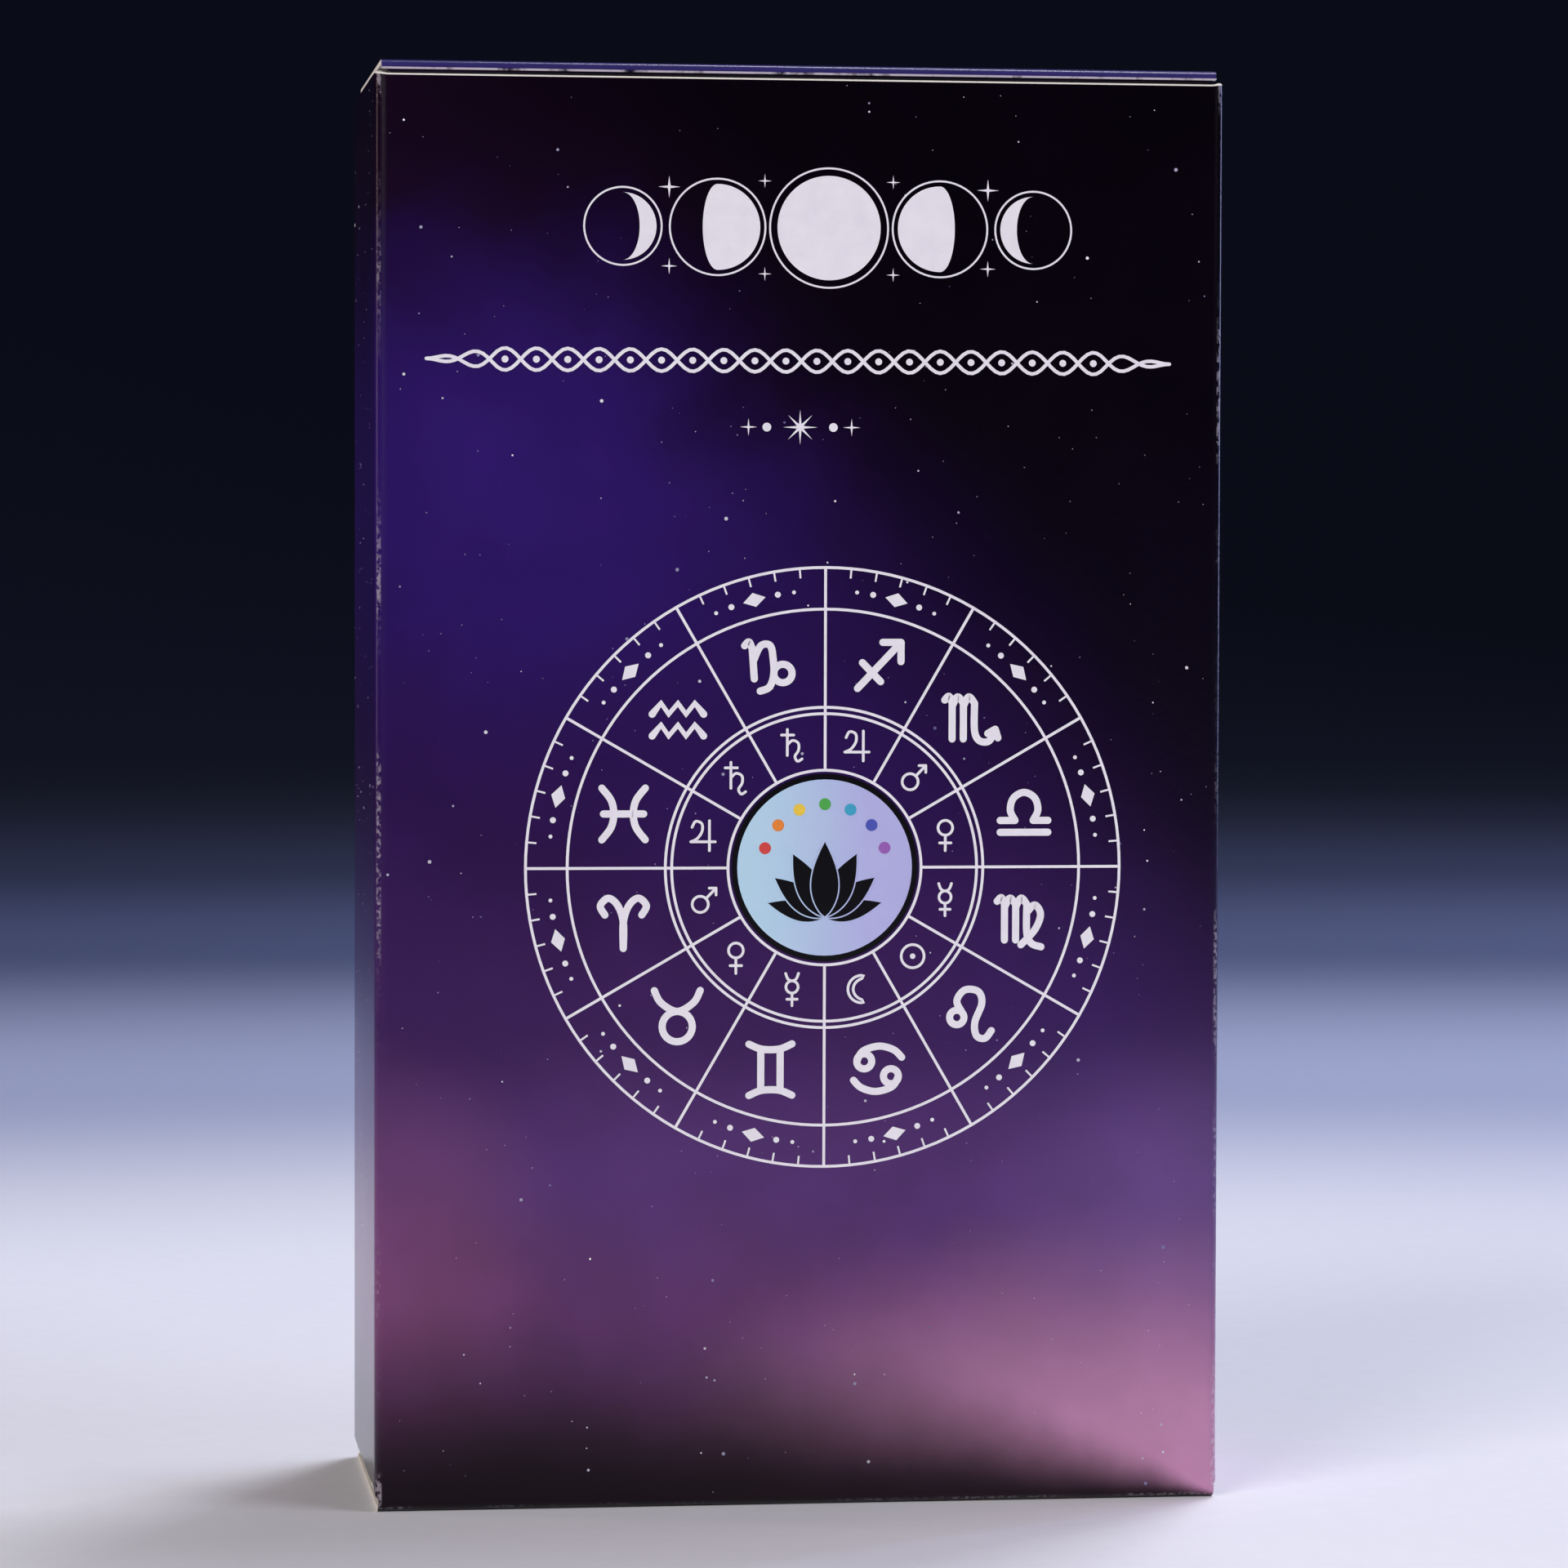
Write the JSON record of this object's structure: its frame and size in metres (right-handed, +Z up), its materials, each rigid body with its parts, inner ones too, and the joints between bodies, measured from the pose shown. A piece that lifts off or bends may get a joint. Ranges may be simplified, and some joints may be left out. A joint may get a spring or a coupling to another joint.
{
  "type": "tarot card deck",
  "caption": "Deck of tarot cards in a folded paperboard tuck carton, with a hinged lid, its tuck flap, side dust flaps and loose round-cornered cards.",
  "frame": {"origin": "middle of the carton's footprint, on the surface that it stands on", "axes": "+Z up along the cards' height, +Y from the carton's front to its back, +X to the right as seen from the front"},
  "size_m": [0.074, 0.0324, 0.125],
  "materials": {
    "printed_board": "printed deep indigo and violet under a gloss film",
    "white_board": "uncoated white inner side of the board",
    "card_stock": "coated card, satin faces and matt cut edges"
  },
  "bodies": {
    "carton": {"front_panel": "printed_board", "back_panel": "printed_board", "left_panel": "printed_board", "right_panel": "printed_board", "glue_flap": "white_board", "bottom_outer_flap": "printed_board", "bottom_inner_flap": "white_board", "bottom_dust_flap_left": "white_board", "bottom_dust_flap_right": "white_board"},
    "deck": {"card_fool": "card_stock", "card_magician": "card_stock", "card_high_priestess": "card_stock", "card_empress": "card_stock", "card_emperor": "card_stock", "card_hierophant": "card_stock", "card_lovers": "card_stock", "card_chariot": "card_stock", "card_strength": "card_stock", "card_hermit": "card_stock", "card_wheel": "card_stock", "card_justice": "card_stock", "card_hanged_one": "card_stock", "card_death": "card_stock", "card_temperance": "card_stock", "card_devil": "card_stock", "card_tower": "card_stock", "card_star": "card_stock", "card_moon": "card_stock", "card_sun": "card_stock", "card_judgement": "card_stock", "card_world": "card_stock", "cards_wands_ace_to_ten": "card_stock", "card_wands_page": "card_stock", "card_wands_knight": "card_stock", "card_wands_queen": "card_stock", "card_wands_king": "card_stock", "cards_cups_ace_to_ten": "card_stock", "card_cups_page": "card_stock", "card_cups_knight": "card_stock", "card_cups_queen": "card_stock", "card_cups_king": "card_stock", "cards_swords_ace_to_ten": "card_stock", "card_swords_page": "card_stock", "card_swords_knight": "card_stock", "card_swords_queen": "card_stock", "card_swords_king": "card_stock", "cards_pentacles_ace_to_ten": "card_stock", "card_pentacles_page": "card_stock", "card_pentacles_knight": "card_stock", "card_pentacles_queen": "card_stock", "card_pentacles_king": "card_stock"},
    "top_lid": {"top_lid": "printed_board"},
    "tuck_flap": {"tuck_flap": "printed_board"},
    "dust_flap_left": {"dust_flap_left": "printed_board"},
    "dust_flap_right": {"dust_flap_right": "printed_board"}
  },
  "joints": [
    {"name": "deck_draw", "type": "slide", "parent": "carton", "child": "deck", "axis": [0, 0, 1], "range_m": [0, 0.019]},
    {"name": "lid_hinge", "type": "hinge", "parent": "carton", "child": "top_lid", "pos_m": [0, 0.01617, 0.125], "axis": [-1, 0, 0], "range_deg": [0, 175]},
    {"name": "tuck_fold", "type": "hinge", "parent": "top_lid", "child": "tuck_flap", "pos_m": [0, -0.01557, 0.1241], "axis": [-1, 0, 0], "range_deg": [0, 17.5]},
    {"name": "dust_hinge_left", "type": "hinge", "parent": "carton", "child": "dust_flap_left", "pos_m": [-0.037, 0, 0.12445], "axis": [0, -1, 0], "range_deg": [0, 150]},
    {"name": "dust_hinge_right", "type": "hinge", "parent": "carton", "child": "dust_flap_right", "pos_m": [0.037, 0, 0.12445], "axis": [0, 1, 0], "range_deg": [0, 150]}
  ],
  "couplings": [
    {"joint": "lid_hinge", "follows": "deck_draw", "rad_per_m": 160.75},
    {"joint": "tuck_fold", "follows": "deck_draw", "rad_per_m": 16.075},
    {"joint": "dust_hinge_left", "follows": "deck_draw", "rad_per_m": 137.79},
    {"joint": "dust_hinge_right", "follows": "deck_draw", "rad_per_m": 137.79}
  ]
}
